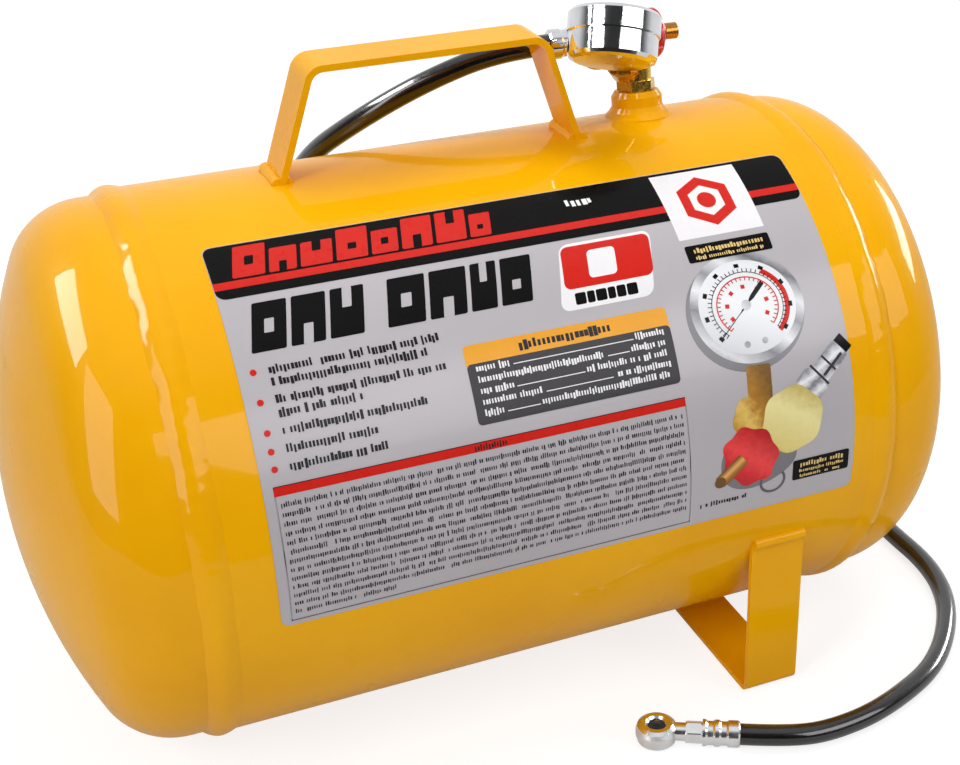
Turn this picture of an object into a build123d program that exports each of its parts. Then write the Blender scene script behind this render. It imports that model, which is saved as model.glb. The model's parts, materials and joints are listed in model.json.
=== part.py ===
from build123d import *
import math
import os

os.makedirs("parts", exist_ok=True)

# Air receiver tank. Millimetres, +X along the tank, +Y to the back, +Z up, floor at z = 0.

# tank
TANK_OD = 250.0
WALL = 2.0
SHELL_HALF = 153.8          # half the shell's length, to the middle of each girth weld
HEAD_FLANGE = 12.0          # straight part of a head outside the shell
HEAD_DEPTH = 55.5
KNUCKLE_R = 36.0
LAP = 10.0                  # head skirt inside the shell
LAP_CLEAR = 0.05
BEAD_HEIGHT = 2.5
BEAD_SHELL = 6.0            # bead width on the shell side
BEAD_HEAD = 7.0             # and on the head side
SEAM_ANGLE = 30.0           # of the long seam, from the bottom towards the back

# foot
FOOT_X = 104.0
FOOT_WIDTH = 27.0
FOOT_SPAN = 236.0
FOOT_BEND = 5.5

# handle, a bent flat bar
BAR_WIDTH = 25.0
BAR_THICK = 3.0
HANDLE_Y = 5.0
HANDLE_HEIGHT = 49.5        # over the top of the tank
HANDLE_BASE = (-86.5, 55.2)
HANDLE_TOP = (-69.2, 39.7)
HANDLE_BEND = 9.0

# label
LABEL_X = (-129.6, 136.9)
LABEL_ANGLE = (-8.2, 69.0)  # above the horizontal at the front
LABEL_THICK = 0.3

# bung and manifold, upright on the shell behind its top line
BUNG_X = 95.5
BUNG_Y = 18.0
MANIFOLD_YAW = 6.0
BUNG_R = 12.2
BUNG_HEIGHT = 11.5
BUNG_BORE_R = 6.6
THREAD_CLEAR = 0.05
NECK_R = 7.6
AXIS_H = 37.3               # hose and knob axis over the shell
BARREL_R = 8.5
BARREL = (-14.0, 4.0)
PORT_R = 4.8
CHAMBER_R = 4.5
SEAT_R = 2.0
SEAT_X = -6.0

# knob, spindle and fill valve
KNOB_R = 11.75
KNOB = (5.5, 15.0)
SPINDLE_R = 3.2
KNOB_BORE_R = 4.2
KNOB_CLEAR = 1.25              # under the knob, where the column is cut back
STEM_R = 3.85
STEM_START = 15.8           # the free stem, past an undercut at the knob
STEM_END = 22.0
CORE_R = 2.6
CORE_PIN_R = 0.8
RUN_CLEAR = 0.05

# gauge, its case centre, face direction and stem direction
GAUGE_FROM_BUNG = (-25.6, -28.7, 46.80279)   # middle of the case, from the bung's foot
GAUGE_FACE = (0.258, 0.390, 0.884)
GAUGE_STEM = (0.487, 0.737, -0.467)
CASE_R = 20.4
CASE_DEPTH = 22.8
BEZEL_R = 21.2
STEM_DROP = -4.5            # stem axis behind the middle of the case
BRANCH = (27.0, 44.0)
GAUGE_BORE_R = 4.85

# safety valve
SAFETY_X = -4.0
SAFETY_R = 6.5
RING_R = 10.5
RING_WIRE = 0.8

# hose and chuck
HOSE_R = 5.0
HOSE_BORE_R = 2.5
FERRULE_R = 7.0
HOSE_EXIT = -42.0
HOSE_LIFT = 5.3
HOSE_END = (69.5, -150.0, 6.5)
CHUCK_DIR = (-0.879, 0.477)
CHUCK_FERRULE_R = 6.25
CHUCK_HEAD_R = 9.75
CHUCK_HEAD_X = 38.7
MOUTH_R = 4.1
SEAL_R = 4.45               # the washer is held under the mouth's lip
SEAL_POCKET = (-2.6, 0.0)
CHUCK_PIN_R = 1.2

R = TANK_OD / 2
AXIS_Z = R + BEAD_HEIGHT
FOOT_THICK = BEAD_HEIGHT
HEAD_R = R - WALL - LAP_CLEAR
TANGENT_X = SHELL_HALF + HEAD_FLANGE
TANK_END = TANGENT_X + HEAD_DEPTH


def along_x(radius, x0, x1):
    return Pos((x0 + x1) / 2, 0, 0) * Rot(0, 90, 0) * Cylinder(radius, x1 - x0)


def upright(radius, z0, z1):
    return Pos(0, 0, (z0 + z1) / 2) * Cylinder(radius, z1 - z0)


def ring_x(r_in, r_out, x0, x1):
    return along_x(r_out, x0, x1) - along_x(r_in, x0 - 1, x1 + 1)


def hexagon_z(flats, z0, z1):
    return Pos(0, 0, z0) * extrude(RegularPolygon(flats / 2, 6, major_radius=False), z1 - z0)


def turned(points, axis=Axis.Z):
    plane = Plane.XZ if axis == Axis.Z else Plane.XY
    return revolve(plane * make_face(Polyline(*points, close=True)), axis)


def tank_solid(grow=0.0):
    return Pos(0, 0, AXIS_Z) * along_x(R + grow, -SHELL_HALF, SHELL_HALF)


# where the bung stands, and the gauge's own directions
bung_tilt = math.degrees(math.asin(BUNG_Y / R))
BUNG_FOOT = (BUNG_X, BUNG_Y, AXIS_Z + R * math.cos(math.radians(bung_tilt)))
MANIFOLD = (Pos(*BUNG_FOOT)
            * Rot(-bung_tilt, 0, 0) * Rot(0, 0, -MANIFOLD_YAW))
SPINDLE = MANIFOLD * Pos(0, 0, AXIS_H)
GAUGE_AT = tuple(a + b for a, b in zip(BUNG_FOOT, GAUGE_FROM_BUNG))
GAUGE = Plane(origin=GAUGE_AT, x_dir=GAUGE_STEM, z_dir=GAUGE_FACE).location
SAFETY = MANIFOLD * Pos(SAFETY_X, 0, AXIS_H) * Rot(-90, 0, 0)
CHUCK = (Pos(*HOSE_END)
         * Rot(0, 0, math.degrees(math.atan2(CHUCK_DIR[1], CHUCK_DIR[0]))))


# %% tank
def shell():
    tube = Pos(0, 0, AXIS_Z) * ring_x(R - WALL, R, -SHELL_HALF, SHELL_HALF)
    return tube - MANIFOLD * upright(BUNG_R - 2.2, -10, 10)


def head(side):
    """Dished head: a crown and a knuckle that meet in a tangent."""
    x0 = SHELL_HALF - LAP
    reach = HEAD_R - KNUCKLE_R
    crown_r = (reach ** 2 + HEAD_DEPTH ** 2 - KNUCKLE_R ** 2) / (2 * (HEAD_DEPTH - KNUCKLE_R))
    crown_x = TANK_END - crown_r
    meet = math.degrees(math.atan2(reach, TANGENT_X - crown_x))
    outline = [Line((x0, HEAD_R), (TANGENT_X, HEAD_R)),
               Line((TANK_END, 0), (TANK_END - WALL, 0)),
               Line((TANGENT_X, HEAD_R - WALL), (x0, HEAD_R - WALL)),
               Line((x0, HEAD_R - WALL), (x0, HEAD_R))]
    for t in (0, WALL):
        outline += [CenterArc((TANGENT_X, reach), KNUCKLE_R - t, meet, 90 - meet),
                    CenterArc((crown_x, 0), crown_r - t, 0, meet)]
    dish = Pos(0, 0, AXIS_Z) * revolve(make_face(outline), Axis.X)
    return dish if side > 0 else mirror(dish, about=Plane.YZ)


def girth_weld(side):
    crest = (SHELL_HALF - 0.5, R + BEAD_HEIGHT)
    a = (SHELL_HALF - BEAD_SHELL, R)
    d = (SHELL_HALF + BEAD_HEAD, HEAD_R)
    outline = [
        TangentArc(crest, a, tangent=(-1, 0)),
        Line(a, (SHELL_HALF, R)),
        Line((SHELL_HALF, R), (SHELL_HALF, HEAD_R)),
        Line((SHELL_HALF, HEAD_R), d),
        TangentArc(crest, d, tangent=(1, 0)),
    ]
    bead = Pos(0, 0, AXIS_Z) * revolve(make_face(outline), Axis.X)
    return bead if side > 0 else mirror(bead, about=Plane.YZ)


def seam_weld():
    half = SHELL_HALF - BEAD_SHELL
    a = math.radians(SEAM_ANGLE)
    deep = R - 2.4
    bead = Pos(0, deep * math.sin(a), AXIS_Z - deep * math.cos(a)) * along_x(3.4, -half, half)
    return bead - tank_solid()


# %% foot
def foot():
    high = AXIS_Z
    outer = Rectangle(FOOT_SPAN, 2 * high)
    outer = fillet(outer.vertices(), FOOT_BEND)
    inner = Rectangle(FOOT_SPAN - 2 * FOOT_THICK, 2 * (high - FOOT_THICK))
    inner = fillet(inner.vertices(), FOOT_BEND - FOOT_THICK)
    loop = extrude(Plane.YZ * (outer - inner), FOOT_WIDTH)
    loop = Pos(FOOT_X - FOOT_WIDTH / 2, 0, high) * loop
    low = Pos(FOOT_X, 0, high / 2) * Box(FOOT_WIDTH + 2, FOOT_SPAN + 2, high)
    return (loop & low) - tank_solid()


def foot_welds(foot_solid):
    y = FOOT_SPAN / 2
    z = AXIS_Z - math.sqrt(R * R - y * y)
    beads = []
    for s in (-1, 1):
        bar = Pos(0, s * y, z) * along_x(3.0, FOOT_X - FOOT_WIDTH / 2 + 0.5,
                                         FOOT_X + FOOT_WIDTH / 2 - 0.5)
        beads.append((bar - tank_solid()) - foot_solid)
        edge = Pos(FOOT_X + s * FOOT_WIDTH / 2, 0, FOOT_THICK) * Rot(90, 0, 0) * Cylinder(2.2, 30)
        beads.append((edge - tank_solid()) - foot_solid)
    return Compound(children=[b for bead in beads for b in bead.solids()])


# %% handle
def inward(points, t):
    """The open outline moved sideways by t."""
    lines = []
    for (x0, z0), (x1, z1) in zip(points[:-1], points[1:]):
        n = math.hypot(x1 - x0, z1 - z0)
        ox, oz = (z1 - z0) / n * t, -(x1 - x0) / n * t
        lines.append(((x0 + ox, z0 + oz), (x1 - x0, z1 - z0)))
    out = [lines[0][0]]
    for ((ax, az), (ux, uz)), ((bx, bz), (vx, vz)) in zip(lines[:-1], lines[1:]):
        k = ((bx - ax) * vz - (bz - az) * vx) / (ux * vz - uz * vx)
        out.append((ax + k * ux, az + k * uz))
    (bx, bz), (vx, vz) = lines[-1]
    out.append((bx + vx, bz + vz))
    return out


def handle():
    top = AXIS_Z + R + HANDLE_HEIGHT
    sink = 6.0
    left_slope = (HANDLE_TOP[0] - HANDLE_BASE[0]) / HANDLE_HEIGHT
    right_slope = (HANDLE_TOP[1] - HANDLE_BASE[1]) / HANDLE_HEIGHT
    foot_z = AXIS_Z + R - sink
    outer = [(HANDLE_BASE[0] - left_slope * sink, foot_z), (HANDLE_TOP[0], top),
             (HANDLE_TOP[1], top), (HANDLE_BASE[1] - right_slope * sink, foot_z)]
    inner = inward(outer, BAR_THICK)
    face = make_face(Polyline(*outer, *reversed(inner), close=True))
    bar = extrude(Plane.XZ * face, BAR_WIDTH / 2, both=True)
    for (x, z), r in ((outer[1], HANDLE_BEND), (outer[2], HANDLE_BEND),
                      (inner[1], HANDLE_BEND - BAR_THICK), (inner[2], HANDLE_BEND - BAR_THICK)):
        edge = bar.edges().filter_by(Axis.Y).sort_by_distance((x, 0, z))[0]
        bar = fillet(edge, r)
    return (Pos(0, HANDLE_Y, 0) * bar) - tank_solid()


def handle_welds(bar):
    z = AXIS_Z + math.sqrt(R * R - HANDLE_Y ** 2) - 0.3
    beads = []
    for base, s in ((HANDLE_BASE[0], 1), (HANDLE_BASE[1], -1)):
        for x in (base - 0.3 * s, base + (BAR_THICK + 0.4) * s):
            bead = Pos(x, HANDLE_Y, z) * Rot(90, 0, 0) * Cylinder(3.0, BAR_WIDTH - 1)
            beads += ((bead - tank_solid()) - bar).solids()
    return Compound(children=beads)


# %% label
def label():
    x0, x1 = LABEL_X
    a0, a1 = LABEL_ANGLE
    skin = ring_x(R, R + LABEL_THICK, x0, x1)
    mid = math.radians((a0 + a1) / 2)
    cuts = []
    for a, s in ((a0, -1), (a1, 1)):
        t = math.radians(a)
        cut = Pos((x0 + x1) / 2, 0, 0) * Rot(-a, 0, 0) * Pos(0, 0, s * R) \
            * Box(x1 - x0 + 4, 4 * R, 2 * R)
        cuts.append(cut)
    for c in cuts:
        skin = skin - c
    front = Pos((x0 + x1) / 2, -R, 0) * Box(x1 - x0 + 4, 2 * R, 4 * R)
    skin = skin & front
    edges = [e for e in skin.edges() if e.length < 2 * LABEL_THICK]
    try:
        skin = fillet(edges, 4.0)
    except Exception:
        print("label corners left square")
    return Pos(0, 0, AXIS_Z) * skin


# %% bung
def tank_bung():
    body = upright(BUNG_R, -3, 9) + Pos(0, 0, 9) * Cone(
        BUNG_R, BUNG_R - 1.6, BUNG_HEIGHT - 9, align=(Align.CENTER, Align.CENTER, Align.MIN))
    body = (MANIFOLD * body) - tank_solid()
    body += MANIFOLD * upright(BUNG_R - 2.2, -6, 2)
    return body - MANIFOLD * upright(BUNG_BORE_R, -8, BUNG_HEIGHT + 1)


def bung_weld():
    ring = turned([(BUNG_R, 4.5), (BUNG_R + 1.6, 2.2), (BUNG_R + 4.8, -0.6), (BUNG_R + 4.8, -4),
                   (BUNG_R, -4)])
    return (MANIFOLD * ring) - tank_solid()


# %% manifold
def manifold_body():
    hose_end, knob_end = BARREL
    body = upright(BUNG_BORE_R - THREAD_CLEAR, 1, BUNG_HEIGHT + 0.5)
    body += hexagon_z(2 * NECK_R + 1.4, BUNG_HEIGHT + 0.5, BUNG_HEIGHT + 5)
    column = upright(NECK_R, BUNG_HEIGHT + 3, AXIS_H)
    column -= Pos(knob_end + 10, 0, AXIS_H) * Box(20, 40, 2 * (KNOB_R + KNOB_CLEAR))
    body += column
    body += Pos(0, 0, AXIS_H) * along_x(BARREL_R, hose_end, knob_end)
    body += Pos(sum(BARREL) / 2, 0, 0) * Rot(0, 0, 30) * hexagon_z(
        knob_end - hose_end, AXIS_H + BARREL_R - 3, AXIS_H + BARREL_R + 2.5)
    boss = Pos(SAFETY_X, 0, AXIS_H) * Rot(-90, 0, 0) * upright(7.0, 0, 12.5)
    body += boss
    body = MANIFOLD * body
    body += GAUGE * Pos(0, 0, STEM_DROP) * along_x(7.5, *BRANCH)
    # passages
    bores = Pos(0, 0, AXIS_H) * along_x(PORT_R, hose_end - 1, SEAT_X - 2)
    bores += Pos(0, 0, AXIS_H) * along_x(SEAT_R, SEAT_X - 3, SEAT_X + 1)
    bores += Pos(0, 0, AXIS_H) * along_x(CHAMBER_R, SEAT_X, knob_end + 1)
    bores += Pos(0, 0, AXIS_H) * along_x(CHAMBER_R + 0.5, 0, knob_end + 1)
    bores += upright(2.5, 0, AXIS_H)
    bores += Pos(SAFETY_X, 0, AXIS_H) * Rot(-90, 0, 0) * (upright(1.9, 0, 13) + upright(PORT_R, 6, 13))
    body -= MANIFOLD * bores
    body -= GAUGE * Pos(0, 0, STEM_DROP) * (along_x(1.5, BRANCH[0] - 1, BRANCH[1] + 2)
                                            + along_x(GAUGE_BORE_R, BRANCH[0] - 1, BRANCH[0] + 8.5))
    return body


def packing_nut():
    nut = along_x(CHAMBER_R + 0.5 - THREAD_CLEAR, 0.3, BARREL[1])
    nut += Pos(BARREL[1], 0, 0) * Rot(0, 90, 0) * hexagon_z(12, 0, 4.5)
    nut -= along_x(SPINDLE_R + RUN_CLEAR, -1, 12)
    return SPINDLE * nut


def spindle_oring():
    return SPINDLE * (Pos(-0.5, 0, 0) * Rot(0, 90, 0) * Torus((SPINDLE_R + CHAMBER_R) / 2, 0.6))


def valve_spindle():
    body = turned([(SEAT_X - 1.4, 0), (SEAT_X - 1.4, 0.69), (SEAT_X + 1.0, 2.85),
                   (SEAT_X + 1.4, SPINDLE_R), (9.2, SPINDLE_R), (9.5, KNOB_BORE_R),
                   (KNOB[1], KNOB_BORE_R), (KNOB[1], STEM_R - 0.4), (STEM_START, STEM_R - 0.4),
                   (STEM_START, STEM_R), (STEM_END - 0.5, STEM_R), (STEM_END, STEM_R - 0.5),
                   (STEM_END, 0)], Axis.X)
    body -= along_x(1.2, -3.0, STEM_END)
    body -= along_x(CORE_R, 13.5, STEM_END + 1)
    body -= Pos(-3.0, 0, 0) * Cylinder(1.0, 12)
    return SPINDLE * body


def knob():
    k0, k1 = KNOB
    body = turned([(k0, 0), (k0, KNOB_R - 1.0), (k0 + 1.0, KNOB_R), (k1 - 4.2, KNOB_R),
                   (k1 - 2.6, KNOB_R - 1.2), (k1 - 2.0, 7.2), (k1, 5.2), (k1, 0)], Axis.X)
    for i in range(8):
        a = math.radians(45 * i + 22.5)
        r = KNOB_R + 1.6
        body -= Pos(0, r * math.cos(a), r * math.sin(a)) * along_x(2.7, k0 - 1, k1 + 1)
    body -= along_x(7.6, k0 - 1, k0 + 4)
    body -= along_x(KNOB_BORE_R, k0, k1 + 1)
    return SPINDLE * body


def fill_core():
    body = along_x(CORE_R - RUN_CLEAR, 13.6, 20.4) - along_x(CORE_PIN_R + 0.1, 13, 21)
    return SPINDLE * body


def core_pin():
    pin = along_x(CORE_PIN_R, 14.0, 21.4) 
    return SPINDLE * pin


# %% gauge
def gauge_case():
    z0 = -CASE_DEPTH / 2
    z1 = CASE_DEPTH / 2 - 1.9
    t = 0.9
    body = turned([(0, z0), (CASE_R - 3.0, z0 + 0.5), (CASE_R - 0.8, z0 + 1.4), (CASE_R, z0 + 3.0),
                   (CASE_R, z1), (CASE_R - t, z1), (CASE_R - t, z0 + 3.2), (CASE_R - 3.2, z0 + 1.6),
                   (0, z0 + 1.1)])
    body -= Pos(0, 0, STEM_DROP) * along_x(5.1, 10, CASE_R + 4)
    return GAUGE * body


def gauge_bezel():
    z1 = CASE_DEPTH / 2
    body = turned([(CASE_R, z1 - 10.4), (BEZEL_R - 0.2, z1 - 10.4), (BEZEL_R, z1 - 9.8),
                   (BEZEL_R, z1 - 1.6), (BEZEL_R - 1.4, z1), (18.6, z1), (18.3, z1 - 1.0),
                   (CASE_R, z1 - 1.0)])
    return GAUGE * body


def gauge_lens():
    z1 = CASE_DEPTH / 2
    return GAUGE * upright(CASE_R - 0.05, z1 - 1.9, z1 - 1.0)


def gauge_dial():
    dial = upright(CASE_R - 0.9, 4.2, 4.8) - upright(1.2, 4, 5)
    return GAUGE * dial


def gauge_needle():
    a = math.radians(-45)
    blade = make_face(Polyline((-5.5, -1.1), (-5.5, 1.1), (0, 0.9), (14.2, 0.2), (14.2, -0.2),
                               (0, -0.9), close=True))
    body = Pos(0, 0, 6.0) * extrude(blade, 0.5)
    body += upright(2.0, 5.6, 6.9)
    body += upright(0.7, STEM_DROP - 3.1, 6.0)
    body += upright(1.9, STEM_DROP - 1.5, STEM_DROP + 0.5)
    return GAUGE * Rot(0, 0, math.degrees(a)) * body


def gauge_movement():
    z0, z1 = STEM_DROP - 2.8, STEM_DROP + 2.8
    plates = Pos(-0.5, 0, z0) * Box(15, 12, 0.8) + Pos(-0.5, 0, z1) * Box(15, 12, 0.8)
    for x, y in ((-6.5, 4.8), (-6.5, -4.8), (5.5, 4.8), (5.5, -4.8)):
        plates += Pos(x, y, 0) * upright(0.9, z0, z1)
    plates -= upright(0.7 + RUN_CLEAR, z0 - 1, z1 + 1)
    return GAUGE * plates


def bourdon_tube():
    z0, z1 = STEM_DROP - 2.5, STEM_DROP + 2.5
    arc = upright(15.2, z0, z1) - upright(13.6, z0 - 1, z1 + 1)
    arc -= upright(14.8, z0 + 0.5, z1 - 0.5) - upright(14.0, z0 - 1, z1 + 1)
    wedge = make_face(Polyline((0, 0), (40, -9.5), (40, 12.6), close=True))
    arc -= Pos(0, 0, -12) * extrude(wedge, 16)
    wedge = make_face(Polyline((0, 0), (40, -9.5), (30, -40), (6, -40), close=True))
    arc -= Pos(0, 0, -12) * extrude(wedge, 16)
    return GAUGE * arc


def gauge_socket():
    body = Pos(13.1, 0, 0) * Box(12.2, 9.0, 6.5)
    body += along_x(5.0, 18.5, 21.5)
    body += Pos(24.25, 0, 0) * Box(5.5, 10, 10)
    body += along_x(GAUGE_BORE_R - THREAD_CLEAR, 26.5, BRANCH[0] + 8)
    body -= along_x(1.2, 12, BRANCH[0] + 9)
    return GAUGE * Pos(0, 0, STEM_DROP) * body


# %% safety valve
def safety_body():
    body = upright(PORT_R - THREAD_CLEAR, 6.5, 13) + hexagon_z(14, 12.5, 18) + upright(SAFETY_R, 17, 34)
    body -= upright(1.9, 6, 15) + upright(4.8, 14, 35)
    for a in (0, 90, 180, 270):
        body -= Rot(0, 0, a + 45) * Pos(0, 0, 27) * along_x(1.3, 0, 10)
    return SAFETY * body


def safety_stem():
    body = upright(4.0, 14.05, 16.4) + upright(1.5, 16, 39.5)
    eye = Pos(0, 0, 41.5) * along_x(3.0, -1.5, 1.5)
    body += eye
    body -= Pos(0, 0, 41.5) * along_x(1.35, -3, 3)
    return SAFETY * body


def safety_spring():
    z0, z1, wire, coil = 17.0, 30.0, 0.5, 3.2
    path = Helix((z1 - z0) / 6.0, z1 - z0, coil)
    section = Plane(origin=path @ 0, z_dir=path % 0) * Circle(wire)
    return SAFETY * Pos(0, 0, z0) * sweep(section, path=path)


def safety_cap():
    body = upright(4.75, 30.6, 34) + hexagon_z(11, 34, 37)
    body -= upright(1.6, 30, 38)
    return SAFETY * body


def pull_ring():
    eye = MANIFOLD * Pos(SAFETY_X, 41.5, AXIS_H) * Rot(bung_tilt, 0, 0)
    return eye * Pos(0, 0, -RING_R) * Rot(90, 0, 0) * Torus(RING_R, RING_WIRE)


# %% hose
def hose_points():
    exit_at = (SPINDLE * Pos(HOSE_EXIT, 0, 0)).position
    out = (SPINDLE * Pos(HOSE_EXIT - 24, 0, 0)).position
    over = [(-4, 38, 275), (-33, 56, 255), (-53, 90, 228), (-61, 129, 182), (-50, 151, 124),
            (-22, 160, 66), (26, 165, 18)]
    floor = [(90, 168), (162, 160), (218, 112), (236, 30), (228.5, -12), (230, -84), (190, -139),
             (143, -160)]
    end = Vector(*HOSE_END)
    back = Vector(-CHUCK_DIR[0], -CHUCK_DIR[1], 0)
    return ([exit_at, out] + [Vector(*p) for p in over] + [Vector(x, y, HOSE_LIFT) for x, y in floor]
            + [Vector(109, -164.6, HOSE_LIFT + 0.4), end + back * 20.5, end])


def hose():
    pts = hose_points()
    radii = []
    for a, b, c in zip(pts[:-2], pts[1:-1], pts[2:]):
        u, v = (b - a), (c - b)
        half = math.radians(u.get_angle(v)) / 2
        radii.append(0.45 * min(u.length, v.length) / math.tan(half))
    print("bend radii", [round(r, 1) for r in radii])
    path = FilletPolyline(*pts, radius=radii)
    print("hose length", round(path.length, 1))
    ring = Circle(HOSE_R) - Circle(HOSE_BORE_R)
    tube = sweep(Plane(origin=path @ 0, z_dir=path % 0) * ring, path=path)
    print("hose volume ratio", tube.volume / (math.pi * (HOSE_R ** 2 - HOSE_BORE_R ** 2) * path.length))
    return tube


def crimped(radius, x0, x1, flip=False):
    n = x1 - x0
    marks = [(0, radius - 0.8), (0.8, radius), (0.3 * n, radius), (0.36 * n, radius - 0.7),
             (0.5 * n, radius - 0.7), (0.56 * n, radius), (0.66 * n, radius),
             (0.72 * n, radius - 0.7), (0.86 * n, radius - 0.7), (0.92 * n, radius), (n, radius)]
    pts = [(x0 + a, r) for a, r in marks] + [(x1, HOSE_BORE_R), (x0, HOSE_BORE_R)]
    return turned(pts, Axis.X)


def hose_fitting():
    body = along_x(PORT_R - THREAD_CLEAR, BARREL[0], SEAT_X - 2.8)
    body += Pos(BARREL[0] - 8, 0, 0) * Rot(0, 90, 0) * hexagon_z(14, 0, 8)
    body += along_x(6.0, BARREL[0] - 10, BARREL[0] - 7.5)
    body += along_x(HOSE_BORE_R - THREAD_CLEAR, HOSE_EXIT + 0.5, BARREL[0] - 9)
    body -= along_x(1.5, HOSE_EXIT - 1, SEAT_X)
    return SPINDLE * body


def hose_ferrule():
    return SPINDLE * crimped(FERRULE_R, HOSE_EXIT, BARREL[0] - 10)


# %% chuck
def chuck_ferrule():
    return CHUCK * crimped(CHUCK_FERRULE_R, 0, 17.4)


def chuck_nut():
    body = Pos(17.4, 0, 0) * Rot(0, 90, 0) * hexagon_z(9.6, 0, 7.9)
    body &= turned([(17.4, 0), (17.4, 4.9), (18.2, 5.4), (24.4, 5.4), (25.3, 4.8), (25.3, 0)], Axis.X)
    return CHUCK * (body - along_x(HOSE_BORE_R, 17, 26))


def chuck_body():
    n = 25.3
    body = along_x(HOSE_BORE_R - THREAD_CLEAR, 3, n + 0.5) + along_x(4.2, n, 33)
    head = turned([(0, -6.2), (6.4, -6.2), (8.9, -4.6), (CHUCK_HEAD_R, -1.6), (CHUCK_HEAD_R, 1.2),
                   (9.0, 3.4), (7.4, 4.6), (0, 4.6)])
    body += Pos(CHUCK_HEAD_X, 0, 0) * head
    mouth = upright(MOUTH_R, -1, 6) + Pos(0, 0, 4.1) * Cone(MOUTH_R, MOUTH_R + 1.0, 1.0)
    mouth += upright(SEAL_R + 0.05, *SEAL_POCKET)
    mouth += upright(2.2, SEAL_POCKET[0] - 1.6, 0) + upright(CHUCK_PIN_R + 0.05, -5.6, 0)
    body -= Pos(CHUCK_HEAD_X, 0, 0) * mouth
    body -= along_x(1.4, 2, 32.5)
    body -= Pos(31.8, 0, 0) * upright(1.0, -3.8, 0)
    body -= Pos(0, 0, -3.8) * along_x(0.9, 31.8, CHUCK_HEAD_X)
    return CHUCK * body


def chuck_seal():
    washer = upright(SEAL_R, SEAL_POCKET[0], SEAL_POCKET[1] - 0.3) - upright(1.7, -4, 2)
    return CHUCK * Pos(CHUCK_HEAD_X, 0, 0) * washer


def chuck_pin():
    return CHUCK * Pos(CHUCK_HEAD_X, 0, 0) * upright(CHUCK_PIN_R, -4.6, -0.6)


# %% export
def main():
    foot_solid = foot()
    bar = handle()
    made = {
        "shell": shell(), "left_head": head(-1), "right_head": head(1),
        "left_girth_weld": girth_weld(-1), "right_girth_weld": girth_weld(1),
        "seam_weld": seam_weld(), "foot": foot_solid, "foot_welds": foot_welds(foot_solid),
        "handle": bar, "handle_welds": handle_welds(bar), "label": label(),
        "tank_bung": tank_bung(), "bung_weld": bung_weld(), "manifold_body": manifold_body(),
        "packing_nut": packing_nut(), "spindle_oring": spindle_oring(),
        "valve_spindle": valve_spindle(), "knob": knob(), "fill_core": fill_core(),
        "core_pin": core_pin(), "gauge_case": gauge_case(), "gauge_bezel": gauge_bezel(),
        "gauge_lens": gauge_lens(), "gauge_dial": gauge_dial(), "gauge_needle": gauge_needle(),
        "gauge_movement": gauge_movement(), "bourdon_tube": bourdon_tube(),
        "gauge_socket": gauge_socket(), "safety_body": safety_body(),
        "safety_stem": safety_stem(), "safety_spring": safety_spring(),
        "safety_cap": safety_cap(), "pull_ring": pull_ring(), "hose_fitting": hose_fitting(),
        "hose_ferrule": hose_ferrule(), "hose": hose(), "chuck_ferrule": chuck_ferrule(),
        "chuck_nut": chuck_nut(), "chuck_body": chuck_body(), "chuck_seal": chuck_seal(),
        "chuck_pin": chuck_pin(),
    }
    for name, solid in made.items():
        export_step(solid, f"parts/{name}.step")
        box = solid.bounding_box()
        print(name, len(solid.solids()), round(solid.volume, 1),
              [round(v, 1) for v in (*box.min, *box.max)])


main()
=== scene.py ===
import json
import math

import bmesh
import bpy
import numpy as np
from mathutils import Matrix, Vector


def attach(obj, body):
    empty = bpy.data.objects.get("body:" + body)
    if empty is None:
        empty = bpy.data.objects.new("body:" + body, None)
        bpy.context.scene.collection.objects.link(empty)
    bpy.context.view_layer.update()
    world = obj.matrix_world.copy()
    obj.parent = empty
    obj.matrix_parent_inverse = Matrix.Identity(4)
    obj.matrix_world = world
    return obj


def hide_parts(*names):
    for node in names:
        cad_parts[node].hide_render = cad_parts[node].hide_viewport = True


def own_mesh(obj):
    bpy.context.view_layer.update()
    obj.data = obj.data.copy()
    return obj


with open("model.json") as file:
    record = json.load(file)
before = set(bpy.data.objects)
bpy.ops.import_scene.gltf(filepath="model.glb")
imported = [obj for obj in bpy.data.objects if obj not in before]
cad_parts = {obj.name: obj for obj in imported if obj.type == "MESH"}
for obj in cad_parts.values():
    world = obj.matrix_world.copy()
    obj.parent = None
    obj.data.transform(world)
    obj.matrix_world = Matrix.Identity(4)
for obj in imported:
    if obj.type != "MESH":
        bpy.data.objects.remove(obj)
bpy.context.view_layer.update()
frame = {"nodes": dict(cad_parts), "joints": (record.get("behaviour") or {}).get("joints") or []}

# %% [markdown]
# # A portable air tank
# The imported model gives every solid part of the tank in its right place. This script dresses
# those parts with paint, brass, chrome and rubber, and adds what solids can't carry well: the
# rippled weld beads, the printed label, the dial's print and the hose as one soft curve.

nodes = frame["nodes"]
joints = {j["name"]: j for j in frame["joints"]}
MM = 0.001
TANK_R = 125 * MM
AXIS_Z = 127.5 * MM
TAU = 2 * math.pi
print("parts:", len(nodes), "joints:", len(joints))

# %% [markdown]
# ## The camera
# The camera stands high to the left and looks down along the tank. It could be aimed with a
# Track To constraint, but that keeps it level. Here its axes are worked out from three turns,
# yaw, pitch and roll, and a small lens shift frames the tank without turning it.

# %% Camera
CAMERA_AT = (-0.22726, -0.66508, 0.4957)
YAW, PITCH, ROLL = 0.401748, 0.488963, -0.015901   # radians
LENS, SENSOR = 60.82, 36                           # millimetres
SHIFT = (-0.104, 0.0208)                           # shares of the picture's width

toward = np.array([math.sin(YAW) * math.cos(PITCH), math.cos(YAW) * math.cos(PITCH),
                   -math.sin(PITCH)])
level = np.array([math.cos(YAW), -math.sin(YAW), 0.0])
above = np.cross(level, toward)
right = math.cos(ROLL) * level + math.sin(ROLL) * above
up = -math.sin(ROLL) * level + math.cos(ROLL) * above

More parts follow.
